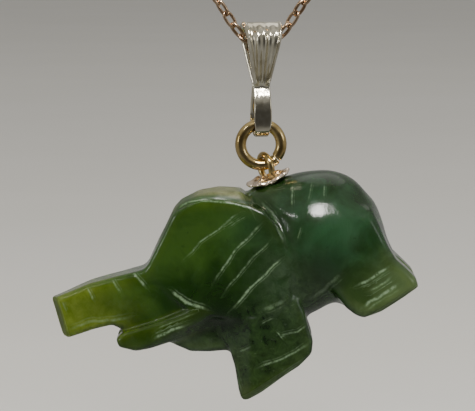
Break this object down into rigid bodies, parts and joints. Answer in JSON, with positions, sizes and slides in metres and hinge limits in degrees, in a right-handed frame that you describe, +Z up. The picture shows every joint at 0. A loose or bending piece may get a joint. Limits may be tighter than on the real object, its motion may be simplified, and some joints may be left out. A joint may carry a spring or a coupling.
{
  "type": "jade elephant pendant",
  "caption": "Carved green jade elephant pendant hanging head-low from a cap, eye, jump ring and fluted gold bail on a short cable chain.",
  "frame": {"origin": "halfway between the two ends of the chain, which the rest of the necklace holds", "axes": "+Z up as it hangs, +X towards the elephant's tail along its length, -Y towards the viewer, which is the elephant's left side"},
  "size_m": [0.0281, 0.0094, 0.0415],
  "materials": {
    "rose_gold_chain": "polished",
    "yellow_gold": "polished",
    "pale_gold": "polished",
    "rose_gold": "polished",
    "cement": "matte",
    "jade": "polished"
  },
  "bodies": {
    "necklace": {"chain": "rose_gold_chain", "left_end_ring": "yellow_gold", "right_end_ring": "yellow_gold"},
    "bail": {"bail": "pale_gold"},
    "jump_ring": {"jump_ring": "yellow_gold"},
    "pendant": {"jade_elephant": "jade", "peg_cement": "cement", "eye_pin": "yellow_gold", "back_cap": "rose_gold"}
  },
  "joints": [
    {"name": "bail_swing", "type": "hinge", "parent": "necklace", "child": "bail", "pos_m": [0, 0, -0.012], "axis": [0.9848, 0.1736, 0], "range_deg": [-60, 60]},
    {"name": "ring_swing", "type": "hinge", "parent": "bail", "child": "jump_ring", "pos_m": [0, 0, -0.01823], "axis": [1, 0, 0], "range_deg": [-60, 60]},
    {"name": "pendant_swing", "type": "hinge", "parent": "jump_ring", "child": "pendant", "pos_m": [0, 0, -0.01975], "axis": [0, 1, 0], "range_deg": [-45, 45]}
  ]
}
